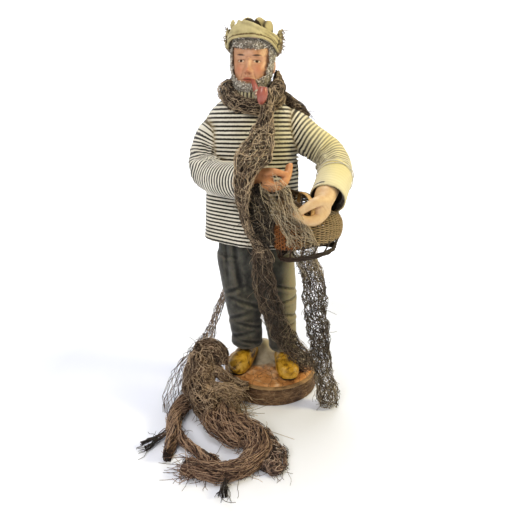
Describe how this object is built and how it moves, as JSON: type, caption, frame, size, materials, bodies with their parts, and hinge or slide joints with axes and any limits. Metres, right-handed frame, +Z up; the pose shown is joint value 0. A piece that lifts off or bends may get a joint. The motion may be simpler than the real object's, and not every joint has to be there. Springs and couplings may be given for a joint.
{
  "type": "fisherman figure",
  "caption": "Standing fisherman figure in a striped jersey on a round wooden base, with a wicker basket on one arm and fishing net round the neck and at the feet.",
  "frame": {"origin": "centre of the flat underside of the round base, at the height of the surface it stands on", "axes": "+Z up through the figure; the figure faces -Y; +X is the side of its left arm, which carries the basket"},
  "size_m": [0.153, 0.1728, 0.2909],
  "materials": {
    "base_wood": "dark stained wood, worn and dry",
    "painted_ground": "modelled plaster painted as orange-brown earth",
    "clog_paint": "carved wood, yellow paint with dark stains",
    "trouser_cloth": "dark grey-green woven cotton",
    "jersey_knit": "fine cream and near-black striped knit, faded on one side",
    "hand_paint": "painted composition, satin",
    "face_paint": "painted composition, satin",
    "grey_wool": "curled grey wool",
    "cap_canvas": "cream canvas, soiled brown at the back",
    "pipe_paint": "carved wood, pink-red paint",
    "pipe_ring_metal": "dull metal",
    "willow": "woven willow, tan and orange-brown",
    "willow_strip": "split willow, smooth and pale",
    "net_twine": "dyed cotton twine, knotted",
    "net_twine_grey": "dyed cotton twine, knotted, greyer",
    "net_twine_heap": "dyed cotton twine, knotted, folded in a heap",
    "hank_twine": "reddish-brown twisted twine with black ends",
    "tuft_net": "dark cotton net, laid flat"
  },
  "bodies": {
    "root": {"base_disc": "base_wood", "ground_relief": "painted_ground", "clog_right": "clog_paint", "clog_left": "clog_paint", "trousers": "trouser_cloth", "jersey": "jersey_knit", "hand_right": "hand_paint", "hand_left": "hand_paint", "head": "face_paint", "hair_and_beard": "grey_wool", "cap": "cap_canvas", "pipe": "pipe_paint", "pipe_ring": "pipe_ring_metal", "basket": "willow", "basket_handle": "willow_strip", "net_scarf": "net_twine", "net_over_basket": "net_twine_grey", "net_heap": "net_twine_heap", "hank_left": "hank_twine", "hank_loop": "hank_twine", "hank_cross": "hank_twine", "net_tuft": "tuft_net"}
  },
  "joints": []
}
